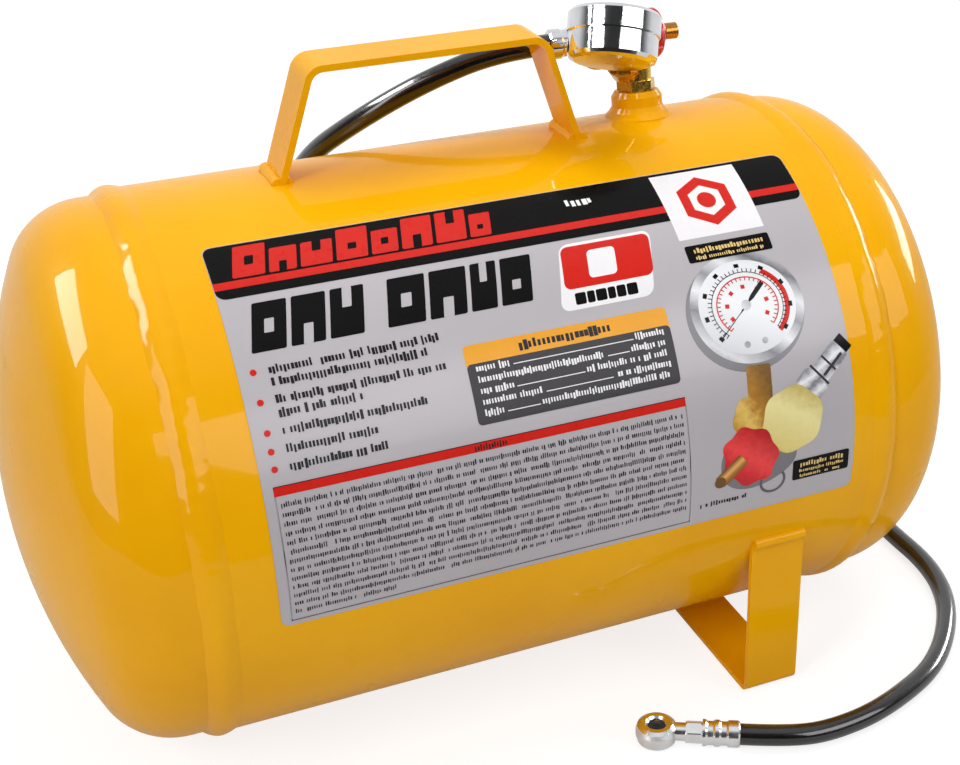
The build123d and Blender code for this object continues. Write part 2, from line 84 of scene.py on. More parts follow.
camera = bpy.data.objects.new("camera", bpy.data.cameras.new("camera"))
bpy.context.scene.collection.objects.link(camera)
camera.matrix_world = Matrix([[right[i], up[i], -toward[i], CAMERA_AT[i]] for i in range(3)]
                             + [[0, 0, 0, 1]])
camera.data.lens, camera.data.sensor_width = LENS, SENSOR
camera.data.shift_x, camera.data.shift_y = SHIFT
camera.data.dof.use_dof = False
bpy.context.scene.camera = camera
print("camera at", camera.location[:])

# %% [markdown]
# ## Finishes
# A finish is a material made of nodes. The nodes could be placed by hand in the editor, but
# `link` adds one node and wires its inputs, so each finish below reads as a short recipe.
# Patterns read Object coordinates, which are the same metres as the model, so a speckle keeps
# its real size.

# %% Node helpers
def link(tree, kind, inputs=None, **settings):
    """Adds a node, sets its settings, and wires or fills its inputs by name or number."""
    node = tree.nodes.new(kind)
    for key, value in settings.items():
        setattr(node, key, value)
    for key, value in (inputs or {}).items():
        if isinstance(value, bpy.types.NodeSocket):
            tree.links.new(value, node.inputs[key])
        else:
            node.inputs[key].default_value = value
    return node


def ramp(tree, value, stops):
    """A colour ramp with stops of (place, colour)."""
    node = link(tree, "ShaderNodeValToRGB", {"Fac": value})
    bar = node.color_ramp
    while len(bar.elements) < len(stops):
        bar.elements.new(0.5)
    for element, (place, colour) in zip(bar.elements, stops):
        element.position = place
        element.color = (*colour, 1)
    return node.outputs["Color"]


def srgb(r, g, b):
    """Screen colour 0 to 255 turned into the linear colour that shaders use."""
    c = np.array([r, g, b]) / 255
    return tuple(float(v) for v in np.where(c < 0.04045, c / 12.92, ((c + 0.055) / 1.055) ** 2.4))


print("middle grey as linear colour:", round(srgb(128, 128, 128)[0], 3))

# %% A finish with soft patches
def noise(tree, scale, detail=3.0):
    """Noise on the piece's own coordinates; scale is in lumps per metre."""
    place = link(tree, "ShaderNodeTexCoord").outputs["Object"]
    return link(tree, "ShaderNodeTexNoise", {"Vector": place, "Scale": scale, "Detail": detail})


def finish(name, dark, light, rough, scale=400.0, bump=0.0, bump_scale=None, rough_spread=0.06,
           **shader):
    """A finish whose colour drifts from dark to light in soft patches, whose roughness drifts
    with it, and whose skin is bumped by bump metres at bump_scale lumps per metre."""
    material = bpy.data.materials.new(name)
    material.use_nodes = True
    tree = material.node_tree
    main = tree.nodes["Principled BSDF"]
    patch = noise(tree, scale).outputs["Fac"]
    tree.links.new(ramp(tree, patch, [(0.3, dark), (0.7, light)]), main.inputs["Base Color"])
    wear = noise(tree, scale * 3, 5.0).outputs["Fac"]
    spread = link(tree, "ShaderNodeMapRange", {"Value": wear, "From Min": 0.3, "From Max": 0.7,
                                               "To Min": max(0.02, rough - rough_spread),
                                               "To Max": rough + rough_spread})
    tree.links.new(spread.outputs["Result"], main.inputs["Roughness"])
    if bump:
        skin = noise(tree, bump_scale or scale * 4, 2.0).outputs["Fac"]
        lift = link(tree, "ShaderNodeBump", {"Height": skin, "Distance": bump, "Strength": 1.0})
        tree.links.new(lift.outputs["Normal"], main.inputs["Normal"])
    for key, value in shader.items():
        main.inputs[key.replace("_", " ")].default_value = value
    return material


# %% Finishes of the tank and its fittings
paint = finish("yellow_paint", srgb(238, 167, 2), srgb(244, 177, 3), 0.3, scale=14,
               bump=0.0001, bump_scale=240, rough_spread=0.04, Coat_Weight=0.34,
               Coat_Roughness=0.04, Specular_IOR_Level=0.02)
brass = finish("brass", srgb(205, 160, 62), srgb(228, 190, 88), 0.24, scale=300, bump=0.00002,
               bump_scale=1500, Metallic=1.0)
brass_dark = finish("brass_stem", srgb(176, 118, 52), srgb(205, 148, 72), 0.3, scale=400,
                    bump=0.00003, bump_scale=1800, Metallic=1.0)
chrome = finish("chrome", srgb(226, 228, 232), srgb(240, 241, 244), 0.07, scale=120,
                bump=0.00001, bump_scale=900, rough_spread=0.03, Metallic=1.0)
satin = finish("satin_chrome", srgb(236, 237, 240), srgb(246, 247, 249), 0.2, scale=160,
               bump=0.00002, bump_scale=700, rough_spread=0.05, Metallic=1.0)
red = finish("red_plastic", srgb(186, 18, 22), srgb(206, 24, 28), 0.34, scale=200,
             bump=0.00004, bump_scale=1400, Coat_Weight=0.3)
rubber = finish("hose_rubber", srgb(12, 12, 13), srgb(20, 20, 21), 0.2, scale=160,
                bump=0.00003, bump_scale=500, Specular_IOR_Level=0.5, Coat_Weight=0.8,
                Coat_Roughness=0.07)
steel = finish("spring_steel", srgb(170, 170, 172), srgb(200, 200, 203), 0.22, scale=500,
               Metallic=1.0)
bronze = finish("bronze", srgb(150, 104, 60), srgb(176, 128, 78), 0.3, scale=500, Metallic=1.0)
dial_white = finish("dial_white", srgb(236, 236, 234), srgb(244, 244, 242), 0.4, scale=200)
needle_black = finish("needle_black", srgb(18, 18, 19), srgb(26, 26, 27), 0.35, scale=600)
seal_rubber = finish("seal_rubber", srgb(26, 26, 27), srgb(38, 38, 39), 0.6, scale=500,
                     bump=0.00003)

glass = bpy.data.materials.new("gauge_glass")
glass.use_nodes = True
shine = glass.node_tree.nodes["Principled BSDF"]
for key, value in {"Base Color": (1, 1, 1, 1), "Roughness": 0.02, "Transmission Weight": 1.0,
                   "IOR": 1.2}.items():
    shine.inputs[key].default_value = value

print("finishes:", len(bpy.data.materials))

# %% Which part wears what
WEARS = {
    paint: "shell left_head right_head seam_weld foot foot_welds handle handle_welds bung_weld "
           "tank_bung",
    brass: "manifold_body packing_nut gauge_socket safety_body safety_cap",
    brass_dark: "valve_spindle fill_core",
    chrome: "gauge_case gauge_bezel hose_fitting hose_ferrule",
    satin: "chuck_ferrule chuck_nut chuck_body",
    red: "knob",
    steel: "core_pin safety_stem safety_spring pull_ring chuck_pin",
    bronze: "bourdon_tube gauge_movement",
    dial_white: "gauge_dial",
    needle_black: "gauge_needle",
    seal_rubber: "spindle_oring chuck_seal",
    glass: "gauge_lens",
}


def dress(name, material):
    """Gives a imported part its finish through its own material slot."""
    part = nodes[name]
    if not part.material_slots:
        part.data.materials.append(material)
    for place in part.material_slots:
        place.material = material


for material, names in WEARS.items():
    for name in names.split():
        dress(name, material)
print("dressed:", sum(len(names.split()) for names in WEARS.values()))

# %% [markdown]
# ## The relief valve's spring
# When the ring is pulled, the collar of the stem moves out and presses the spring against the cap.
# The spring could move as a rigid part, but then its coils would pass through the cap. Here the
# script finds the spring's outer end along the lift and gives the spring a mesh of its own.

# %% Spring
lift_way = np.array(joints["safety_lift"]["axis"])
spring = nodes["safety_spring"]
coil = np.empty(len(spring.data.vertices) * 3)
spring.data.vertices.foreach_get("co", coil)
coil = coil.reshape(-1, 3)
outer_end = coil[(coil @ lift_way).argmax()]
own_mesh(spring)

# %% [markdown]
# ## The hose
# A rubber hose of 10 mm leaves the crimped ferrule, goes over the back of the tank and lies
# round its end on the floor. A tube could be swept as a mesh, but one smooth NURBS line with a
# round bevel is easier to change, and it says where a soft cord runs. Its control points are
# the turns of the route.

# %% Hose
HOSE_DIAMETER, HOSE_LENGTH = 0.010, 0.997
HOSE_ROUTE = [
    (0.05373, 0.02772, 0.28748), (0.02985, 0.03020, 0.28712),
    (-0.004, 0.038, 0.275), (-0.033, 0.056, 0.255), (-0.053, 0.090, 0.228),
    (-0.061, 0.129, 0.182), (-0.050, 0.151, 0.124), (-0.022, 0.160, 0.066),
    (0.026, 0.165, 0.018), (0.090, 0.168, 0.0053), (0.162, 0.160, 0.0053),
    (0.218, 0.112, 0.0053), (0.236, 0.030, 0.0053), (0.2285, -0.012, 0.0053),
    (0.230, -0.084, 0.0053), (0.190, -0.139, 0.0053), (0.143, -0.160, 0.0053),
    (0.109, -0.1646, 0.0057), (0.0875, -0.1598, 0.0065), (0.0695, -0.150, 0.0065),
]
line = bpy.data.curves.new("rubber_hose", "CURVE")
line.dimensions = "3D"
spline = line.splines.new("NURBS")
spline.points.add(len(HOSE_ROUTE) - 1)
spline.points.foreach_set("co", np.c_[np.array(HOSE_ROUTE), np.ones(len(HOSE_ROUTE))].ravel())
spline.order_u = 3
spline.use_endpoint_u = True
spline.resolution_u = 12
line.bevel_depth = HOSE_DIAMETER / 2
line.bevel_resolution = 8
line.use_fill_caps = True
rubber_hose = bpy.data.objects.new("rubber_hose", line)
bpy.context.scene.collection.objects.link(rubber_hose)
line.materials.append(rubber)
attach(rubber_hose, "tank")
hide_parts("hose")
print("hose control points:", len(HOSE_ROUTE))

# %% [markdown]
# ## Surfaces on a grid
# New pieces are made from a grid of points worked out all at once. `grid_faces` numbers the
# faces between the points, and `mesh_piece` makes the mesh and closes its seams and poles by
# merging points that meet.

# %% Grid helpers
def mesh_piece(name, points, faces, material, body, uv=None, close=True):
    """A piece from points (n, 3) and faces (m, 4) that rides a body. Meeting points are merged,
    so that seams and poles close, and the faces of a closed piece are turned outwards."""
    mesh = bpy.data.meshes.new(name)
    mesh.from_pydata(points.reshape(-1, 3).tolist(), [], faces.tolist())
    if uv is not None:
        layer = mesh.uv_layers.new(name="UVMap")
        corners = np.empty(len(mesh.loops), np.int32)
        mesh.loops.foreach_get("vertex_index", corners)
        layer.data.foreach_set("uv", uv.reshape(-1, 2)[corners].astype(np.float32).ravel())
    work = bmesh.new()
    work.from_mesh(mesh)
    bmesh.ops.remove_doubles(work, verts=work.verts, dist=1e-7)
    bmesh.ops.dissolve_degenerate(work, edges=work.edges, dist=1e-8)
    if close:
        bmesh.ops.recalc_face_normals(work, faces=work.faces)
    work.to_mesh(mesh)
    work.free()
    mesh.polygons.foreach_set("use_smooth", [True] * len(mesh.polygons))
    mesh.materials.append(material)
    piece = bpy.data.objects.new(name, mesh)
    bpy.context.scene.collection.objects.link(piece)
    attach(piece, body)
    return piece


def grid_faces(rows, columns):
    """Four-sided faces of a grid with that many rows and columns of points."""
    at = np.arange(rows * columns).reshape(rows, columns)
    return np.stack([at[:-1, :-1], at[1:, :-1], at[1:, 1:], at[:-1, 1:]], -1).reshape(-1, 4)


print("faces of a grid of 3 x 4 points:", len(grid_faces(3, 4)))

# %% [markdown]
# ## The weld beads
# A girth bead is laid while the tank turns, so it is a row of overlapping ripples. A bump
# pattern could draw them, but the bead's outline shows too, so the ripples are in the surface:
# a low arch is carried round the tank, its height swells a little at every ripple, and its
# width wanders as a hand-fed pass does.

# %% Girth weld beads
RIPPLE = 7.5 * MM              # length of one ripple round the tank
BEAD_MIDDLE = 153.6 * MM       # from the tank's middle
BEAD_HALF = (6.4 * MM, 7.4 * MM)   # half width towards the shell and towards the head
BEAD_CREST = 1.55 * MM
BEAD_FOOT = 0.9 * MM           # more crest at the bottom, where the tank rests
HEAD_STEP = 2.05 * MM          # the head is this much smaller than the shell


def girth_bead(side):
    """Point(angle a from the bottom, across v): radius = base + crest(a) * (1 - v^2)^1.15
    * (1 - 0.07 * ripple), x = middle + half width * v * (1 + wander(a)). The base steps down
    from the shell to the head, and the crest is fullest at the bottom."""
    a = np.linspace(0, TAU, 721)[:, None]
    v = np.linspace(-1, 1, 17)[None, :]
    count = round(TAU * TANK_R / RIPPLE)
    phase = count * a + 1.6 * np.sin(3 * a + side) + 0.9 * np.sin(7 * a) - 1.4 * v ** 2
    ripple = 0.5 - 0.5 * np.cos(phase)
    uneven = 0.22 * MM * np.sin(11 * a + 2 * side) * np.sin(a / 2) ** 2
    crest = BEAD_CREST + BEAD_FOOT * np.exp(-(1 - np.cos(a)) / 0.03) + uneven
    wander = np.sin(9 * a + side) + 0.8 * np.sin(23 * a + 1) + 0.5 * np.sin(47 * a)
    wander = wander * np.sin(a / 2) ** 2
    half = np.where(v < 0, *BEAD_HALF) * (1 + 0.045 * wander)
    base = TANK_R - np.where(v > 0, HEAD_STEP * v ** 2, 0)
    radius = base + crest * (1 - v ** 2) ** 1.15 * (1 - 0.07 * ripple)
    x = side * (BEAD_MIDDLE + half * v)
    return np.stack([x + 0 * radius, radius * np.sin(a), AXIS_Z - radius * np.cos(a)], -1)


for side, node in ((-1, "left_girth_weld"), (1, "right_girth_weld")):
    points = girth_bead(side)
    bead = mesh_piece(node + "_bead", points, grid_faces(*points.shape[:2]), paint, "tank")
    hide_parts(node)
    print(bead.name, len(bead.data.polygons), "faces")

# %% [markdown]
# ## The label
# The label is a printed film wrapped round the front of the shell. An image could be mapped
# on it, but patches of ink need no picture file and stay sharp up close. There is one piece for
# each ink, on the same cylinder a hair above the film. Words are replaced by rows of plain
# strokes, so there is nothing to read.

# %% Label film
FILM = 0.3 * MM                # from the shell to the film's outer face
UV_SIZE = 100                  # millimetres of artwork for one step of UV
LABEL_R = TANK_R + FILM
film = finish("label_film", srgb(176, 171, 175), srgb(184, 179, 183), 0.36, scale=9,
              bump=0.00004, bump_scale=90, Coat_Weight=0.2, Coat_Roughness=0.1,
              Specular_IOR_Level=0.3)
dress("label", film)
print("label film at radius", round(LABEL_R / MM, 2), "mm")

# %% Flat artwork and how it is laid on the tank
def wrap(flat, lift):
    """Artwork (x, s) in mm, s up the curve, laid on the label: angle = s / tank radius."""
    angle = flat[..., 1] / (TANK_R / MM)
    radius = LABEL_R + lift
    return np.stack([flat[..., 0] * MM, -radius * np.cos(angle),
                     AXIS_Z + radius * np.sin(angle)], -1)


def fill(outline, rings=6):
    """Fills a star-shaped outline (n, 2): point(k, i) = centre + k * (outline[i] - centre)."""
    centre = outline.mean(0)
    k = np.linspace(0, 1, rings + 1)[:, None, None]
    loop = np.vstack([outline, outline[:1]])
    return centre + k * (loop - centre)


def rounded(x0, x1, s0, s1, corner, slant=0.0, side=9):
    """A box with rounded corners, leaning by slant mm for each mm up. Each straight side is cut
    into side - 1 steps, so that a long one follows the curve of the tank."""
    n = 6                      # points on the arc of a corner
    turn = np.linspace(0, math.pi / 2, n)
    pts = []
    for quarter, (cx, cs) in enumerate(((x1 - corner, s1 - corner), (x0 + corner, s1 - corner),
                                        (x0 + corner, s0 + corner), (x1 - corner, s0 + corner))):
        a = turn + quarter * math.pi / 2
        pts.append(np.stack([cx + corner * np.cos(a), cs + corner * np.sin(a)], -1))
    loop = np.vstack(pts + [pts[0][:1]])
    t = np.linspace(0, 1, side)[:-1, None]
    dense = [loop[i] + t * (loop[i + 1] - loop[i]) if (i + 1) % n == 0 else loop[i:i + 1]
             for i in range(len(loop) - 1)]
    loop = np.vstack(dense)
    return np.stack([loop[:, 0] + slant * (loop[:, 1] - s0), loop[:, 1]], -1)


def turned(flat, x, s, degrees):
    """Artwork drawn about (0, 0), turned by an angle and set down at (x, s)."""
    c, d = math.cos(math.radians(degrees)), math.sin(math.radians(degrees))
    return np.stack([x + c * flat[:, 0] - d * flat[:, 1], s + d * flat[:, 0] + c * flat[:, 1]], -1)


def round_patch(x, s, rx, rs=None, n=48):
    """An ellipse outline about (x, s)."""
    a = np.linspace(0, TAU, n, endpoint=False)
    return np.stack([x + rx * np.cos(a), s + (rs or rx) * np.sin(a)], -1)


def ring_patch(x, s, rx, rs, width, a0=0.0, a1=360.0, n=97):
    """A band between an ellipse and one smaller by width, from angle a0 to a1, as a grid."""
    a = np.radians(np.linspace(a0, a1, n))[None, :]
    k = np.linspace(1, 0, 5)[:, None]
    return np.stack([x + (rx - width * k) * np.cos(a), s + (rs - width * k) * np.sin(a)], -1)


print("points round a box of 10 x 5 mm:", len(rounded(0, 10, 0, 5, 1)))

# %% Strokes that stand in for letters
def strokes(x0, x1, s, height, pitch, rng, space=0.16, bold=0.62):
    """A row of plain upright strokes in word-like groups: small boxes as a grid (n, 2, 2, 2)."""
    x = np.arange(x0, x1 - pitch * bold, pitch)
    keep = rng.random(len(x)) > space
    x, n = x[keep], int(keep.sum())
    tall = height * rng.choice([0.7, 0.72, 0.74, 1.0], n)
    wide = pitch * bold * rng.choice([0.85, 1.0, 1.25], n)
    low = np.stack([x, s - height * rng.choice([0.0, 0.0, 0.0, 0.2], n)], -1)
    high = np.stack([x, s + tall], -1)
    across = np.stack([wide, 0 * wide], -1)
    return np.stack([np.stack([low, high], 1), np.stack([low + across, high + across], 1)], 1)


print("strokes in a line of 30 mm:", len(strokes(0, 30, 0, 3, 1.5, np.random.default_rng(1))))

# %% From patches to a piece of ink
def pile(patches):
    """Points and faces of many flat patches, each a grid (rows, columns, 2) or a stack of such
    grids."""
    points, faces, count = [], [], 0
    for patch in patches:
        for grid in (patch if patch.ndim == 4 else patch[None]):
            rows, columns = grid.shape[:2]
            points.append(grid.reshape(-1, 2))
            faces.append(grid_faces(rows, columns) + count)
            count += rows * columns
    return np.vstack(points), np.vstack(faces)


def ink(name, patches, lift, material):
    """One piece from all the patches of one ink. It lies lift mm over the film, and an ink that
    is printed over another has the greater lift."""
    flat, faces = pile(patches)
    piece = mesh_piece(name, wrap(flat, lift * MM), faces, material, "tank",
                       uv=flat / UV_SIZE, close=False)
    outward = piece.data.polygons[0].normal
    mid = piece.data.polygons[0].center
    if outward.dot(Vector((0, mid.y, mid.z - AXIS_Z))) < 0:
        piece.data.flip_normals()


print("faces of one disc of ink:", len(pile([fill(round_patch(0, 0, 4))])[1]))

# %% Inks
def ink_finish(name, colour, spread=0.06):
    """A printed ink: its colour varies a little, as thin ink on film does."""
    dark = tuple(c * (1 - spread) for c in colour)
    return finish(name, dark, colour, 0.3, scale=60, Coat_Weight=0.12, Coat_Roughness=0.1,
                  Specular_IOR_Level=0.06)


black_ink = ink_finish("black_ink", srgb(11, 10, 10))
red_ink = ink_finish("red_ink", srgb(208, 36, 26), spread=0.03)
white_ink = ink_finish("white_ink", srgb(238, 236, 238), spread=0.03)
orange_ink = ink_finish("orange_ink", srgb(238, 166, 52))
slate_ink = ink_finish("slate_ink", srgb(62, 60, 64))
text_ink = ink_finish("text_ink", srgb(40, 38, 42))
print("inks ready")

# %% The black band and the headings
# The places are millimetres on the label: x along the tank, s up the curve.
ENDS = (-129.4, 136.7)         # of the black band
STRIPE = (127.2, 130.9)        # the red stripe in it
PLATE = (70.3, 112.2)          # the white square that breaks the stripe
PANEL = (-125.4, 54.2)         # the framed panel of fine text
BULLET_ROWS = (89.8, 77.5, 65.3, 57.9, 50.9)
SLOT_SPANS = ((0.36, 0.64), (0.0, 0.4), (0.58, 1.0), (0.3, 0.5))   # shares of a block's height
LOW_BLOCK = 0.76               # height of a lower block against a tall one
rng = np.random.default_rng(7)
ink("label_band", [fill(rounded(*ENDS, 122.6, 150.2, 4.0, side=60), 12)], 0.02, black_ink)


def heading(x0, x1, s0, s1, blocks, slant, tall=()):
    """Big leaning blocks in a row, with unequal widths; the tall ones reach s1, the others stop
    lower. Gives the blocks and the small slots that are left open in some of them."""
    widths = rng.choice([0.85, 1.0, 1.15], blocks)
    edges = x0 + (x1 - x0) * np.r_[0, np.cumsum(widths)] / widths.sum()
    gap = 0.12 * (x1 - x0) / blocks
    solid, slots = [], []
    for i, (a, b) in enumerate(zip(edges[:-1], edges[1:])):
        top = s1 if not tall or i in tall else s0 + LOW_BLOCK * (s1 - s0)
        wide = b - gap - a
        solid.append(fill(rounded(a, a + wide, s0, top, 0.8, slant), 8))
        low, high = SLOT_SPANS[i % len(SLOT_SPANS)]
        slots.append(fill(rounded(a + 0.36 * wide + slant * low * (top - s0),
                                  a + 0.64 * wide + slant * low * (top - s0),
                                  s0 + low * (top - s0) - 0.01, s0 + high * (top - s0) + 0.01,
                                  0.4, slant), 3))
    return solid, slots


first_blocks, first_slots = heading(-121.0, -8.5, 132.0, 148.6, 8, 0.24, (0, 3, 5, 6))
left_blocks, left_slots = heading(-122.0, -74.0, 97.4, 118.8, 3, 0.24)
right_blocks, right_slots = heading(-66.0, -1.0, 97.4, 118.8, 4, 0.24)
small_blocks = heading(15.0, 44.5, 91.8, 97.0, 6, 0.12)[0]


def nut_symbol(x, s, radius):
    """A plain six-sided ring, as a band between two hexagons. Each side is cut into short
    steps, so that it follows the curve of the tank."""
    a = np.radians(30 + 60 * np.arange(7))
    corners = np.stack([np.cos(a), np.sin(a)], -1)
    step = np.linspace(0, 1, 9)[None, :-1, None]
    loop = (corners[:-1, None] * (1 - step) + corners[1:, None] * step).reshape(-1, 2)
    loop = np.vstack([loop, loop[:1]])
    k = np.linspace(0.62, 1.0, 6)[:, None, None]
    return np.array([x, s]) + radius * k * loop


ink("label_red", [
    fill(rounded(ENDS[0], PLATE[0], *STRIPE, 0.2, side=50), 3),
    fill(rounded(PLATE[1], ENDS[1], *STRIPE, 0.2, side=10), 3),
    *first_blocks,
    fill(rounded(12.0, 53.5, 99.0, 118.8, 3.2, 0.2, side=14), 8),
    fill(rounded(*PANEL, 40.2, 44.2, 0.2, side=40), 3),
    *[fill(round_patch(-123.3, s, 1.35, n=24), 2) for s in BULLET_ROWS],
    nut_symbol(91.2, 130.4, 14.0), fill(round_patch(91.2, 130.4, 4.4), 3),
], 0.06, red_ink)
ink("label_headings", [
    *left_blocks, *right_blocks, *small_blocks,
], 0.06, black_ink)
ink("label_heading_slots", [*left_slots, *right_slots], 0.08, film)
ink("label_band_slots", first_slots, 0.08, black_ink)
print("bands and headings drawn")

# %% Text stood in for by strokes
# The rows of the list, as the height of each and where it ends, then the fine rows below.
LINE_ENDS = {88.4: -47, 83.2: -52, 76.2: -46, 71.0: -82, 63.9: -57, 56.6: -80, 49.6: -77}
FINE_ROWS, FINE_TOP, FINE_STEP = 13, 35.6, 3.97
body_lines = [strokes(-117.2, end, s, 3.3, 1.5, rng, 0.12, bold=0.66)
              for s, end in LINE_ENDS.items()]
fine_lines = [strokes(-123.4, 52.0 if row < FINE_ROWS - 1 else -81.0, FINE_TOP - FINE_STEP * row,
                      2.1, 0.95, rng, 0.14, bold=0.5) for row in range(FINE_ROWS)]


def frame_line(x0, x1, s0, s1, width):
    """Four thin bars round a box."""
    return [rounded(x0, x1, s0, s0 + width, 0.01, side=40),
            rounded(x0, x1, s1 - width, s1, 0.01, side=40),
            rounded(x0, x0 + width, s0, s1, 0.01, side=30),
            rounded(x1 - width, x1, s0, s1, 0.01, side=30)]


ink("label_text", [*body_lines, *fine_lines,
                   *[fill(bar, 1) for bar in frame_line(*PANEL, -15.6, 44.2, 0.35)],
                   strokes(-14.5, 28.5, 78.2, 3.6, 2.1, rng, 0.0, bold=0.72),
                   strokes(59.0, 82.0, -9.6, 2.2, 1.3, rng, 0.12),
                   strokes(-43.0, -27.5, 40.9, 2.4, 1.2, rng, 0.1)], 0.10, text_ink)
SPEC = (-38.5, 53.6)           # the box of specifications
ink("label_spec_head", [fill(rounded(*SPEC, 70.0, 83.8, 2.0, side=24), 6)], 0.04, orange_ink)
ink("label_spec_body", [fill(rounded(*SPEC, 50.6, 75.9, 2.0, side=24), 8)], 0.06, slate_ink)
white_lines = []
for s, left, right_from in ((72.6, -19.6, 37.0), (67.9, 22.0, 34.0), (63.3, -20.0, 12.5),
                            (58.7, -8.0, 24.5), (54.1, -26.0, -9.5)):
    white_lines.append(strokes(-34.8, left, s, 2.7, 1.25, rng, 0.1, bold=0.6))
    white_lines.append(strokes(right_from, 50.4, s, 2.7, 1.25, rng, 0.1, bold=0.6))
    white_lines.append(fill(rounded(left + 1.0, right_from - 1.0, s, s + 0.4, 0.01, side=30), 1))
ink("label_white_plates", [
    fill(rounded(*PLATE, 111.8, 148.6, 0.3, side=26), 8),
    fill(rounded(7.6, 50.6, 89.8, 120.2, 4.2, 0.27, side=20), 8),
], 0.04, white_ink)
ink("label_white_marks", [*white_lines, strokes(27.2, 39.8, 139.9, 3.6, 2.6, rng, 0.0, bold=0.7),
                          fill(rounded(24.5, 37.5, 102.5, 115.5, 2.0, 0.2), 4)], 0.09, white_ink)

ink("label_caption_plates", [fill(rounded(71.2, 112.4, 100.4, 108.6, 1.0, side=20), 4),
                             fill(rounded(105.2, 134.2, -7.0, 3.2, 1.0, side=16), 4)],
    0.12, black_ink)
CAPTIONS = [
    strokes(73.5, 110.0, 104.7, 2.4, 1.5, rng, 0.06), strokes(75.0, 109.0, 101.7, 1.7, 1.05, rng),
    strokes(109.0, 131.0, -0.4, 2.2, 1.4, rng, 0.06), strokes(107.5, 132.0, -3.2, 1.5, 1.0, rng),
    strokes(109.0, 130.0, -5.9, 1.5, 1.0, rng)]
ink("label_caption_lines", CAPTIONS, 0.15, ink_finish("caption_ink", srgb(226, 196, 128)))
print("text strokes drawn")

# %% [markdown]
# ## The printed picture
# The right of the label shows a printed picture of the same fittings: a white dial in a bright
# ring, a brass body with a six-sided pad, a red knob with a brass stem, and a chrome nut. It
# could be a render of the model, but a print is flat and a little coarse. So each fitting is a
# few flat patches, with a soft shade worked out from the patch's own UV.

# %% Shaded inks
def shaded_ink(name, stops, lean, spot, width, wobble=0.0):
    """An ink whose colour runs through the stops across the picture. With p the artwork's place
    in mm, the ramp's place is 0.5 + (lean . (p - spot)) / width, with a little noise added."""
    material = bpy.data.materials.new(name)
    material.use_nodes = True
    tree = material.node_tree
    main = tree.nodes["Principled BSDF"]
    uv = link(tree, "ShaderNodeTexCoord").outputs["UV"]
    centre = (spot[0] / UV_SIZE, spot[1] / UV_SIZE, 0)
    away = link(tree, "ShaderNodeVectorMath", {0: uv, 1: centre},
                operation="SUBTRACT").outputs["Vector"]
    along = link(tree, "ShaderNodeVectorMath", {0: away, 1: (*lean, 0)},
                 operation="DOT_PRODUCT").outputs["Value"]
    place = link(tree, "ShaderNodeMath", {0: along, 1: UV_SIZE / width, 2: 0.5},
                 operation="MULTIPLY_ADD").outputs["Value"]
    if wobble:
        lumps = link(tree, "ShaderNodeTexNoise", {"Vector": uv, "Scale": 30.0}).outputs["Fac"]
        place = link(tree, "ShaderNodeMath", {0: lumps, 1: wobble, 2: place},
                     operation="MULTIPLY_ADD").outputs["Value"]
    tree.links.new(ramp(tree, place, stops), main.inputs["Base Color"])
    main.inputs["Roughness"].default_value = 0.34
    main.inputs["Coat Weight"].default_value = 0.15
    main.inputs["Specular IOR Level"].default_value = 0.25
    return material


GX, GS = 92.0, 77.0            # middle of the pictured dial
shadow_ink = shaded_ink("picture_shadow", [(0, srgb(150, 147, 151)), (1, srgb(120, 118, 122))],
                        (-0.7, -0.7), (GX, GS), 60)
steel_ink = shaded_ink("picture_chrome", [
    (0, srgb(90, 90, 95)), (0.12, srgb(214, 214, 218)), (0.3, srgb(128, 128, 134)),
    (0.45, srgb(236, 236, 240)), (0.6, srgb(150, 150, 156)), (0.75, srgb(226, 226, 230)),
    (0.9, srgb(110, 110, 116)), (1, srgb(196, 196, 200))], (0.6, 0.8), (GX, GS), 58, 0.05)
face_ink = shaded_ink("picture_face", [(0, srgb(206, 208, 214)), (0.5, srgb(236, 237, 240)),
                                       (1, srgb(228, 229, 232))], (0.5, 0.86), (GX, GS), 46)
brass_ink = shaded_ink("picture_brass", [
    (0, srgb(110, 74, 22)), (0.3, srgb(196, 146, 52)), (0.5, srgb(226, 190, 98)),
    (0.7, srgb(178, 124, 40)), (1, srgb(120, 84, 30))], (0.9, 0.4), (86, 34), 34, 0.3)
pad_ink = shaded_ink("picture_pad", [(0, srgb(150, 128, 56)), (0.25, srgb(222, 204, 122)),
                                     (0.7, srgb(238, 226, 160)), (1, srgb(196, 176, 96))],
                     (0.5, 0.86), (105, 23.5), 38, 0.2)
knob_ink = shaded_ink("picture_knob", [(0, srgb(150, 14, 22)), (0.4, srgb(214, 32, 40)),
                                       (0.6, srgb(238, 66, 66)), (1, srgb(180, 20, 28))],
                      (0.6, 0.8), (84, 11), 34, 0.25)
nut_ink = shaded_ink("picture_nut", [
    (0, srgb(96, 96, 104)), (0.25, srgb(232, 232, 236)), (0.42, srgb(120, 120, 128)),
    (0.6, srgb(240, 240, 244)), (0.8, srgb(140, 140, 148)), (1, srgb(208, 208, 214))],
    (-0.5, 0.86), (124, 46), 20, 0.25)
print("shaded inks ready")


def turned_box(x, s, length, width, angle, corner):
    """A rounded box about (x, s), turned by angle degrees."""
    return turned(rounded(-length / 2, length / 2, -width / 2, width / 2, corner), x, s, angle)


def lobed(x, s, radius, lobes, deep, squash=1.0, lean=0.0):
    """radius(a) = radius * (1 + deep * cos(lobes * a)), flattened by squash and turned."""
    a = np.linspace(0, TAU, 96, endpoint=False)
    r = radius * (1 + deep * np.cos(lobes * a))
    return turned(np.stack([r * np.cos(a), squash * r * np.sin(a)], -1), x, s,
                  math.degrees(lean))


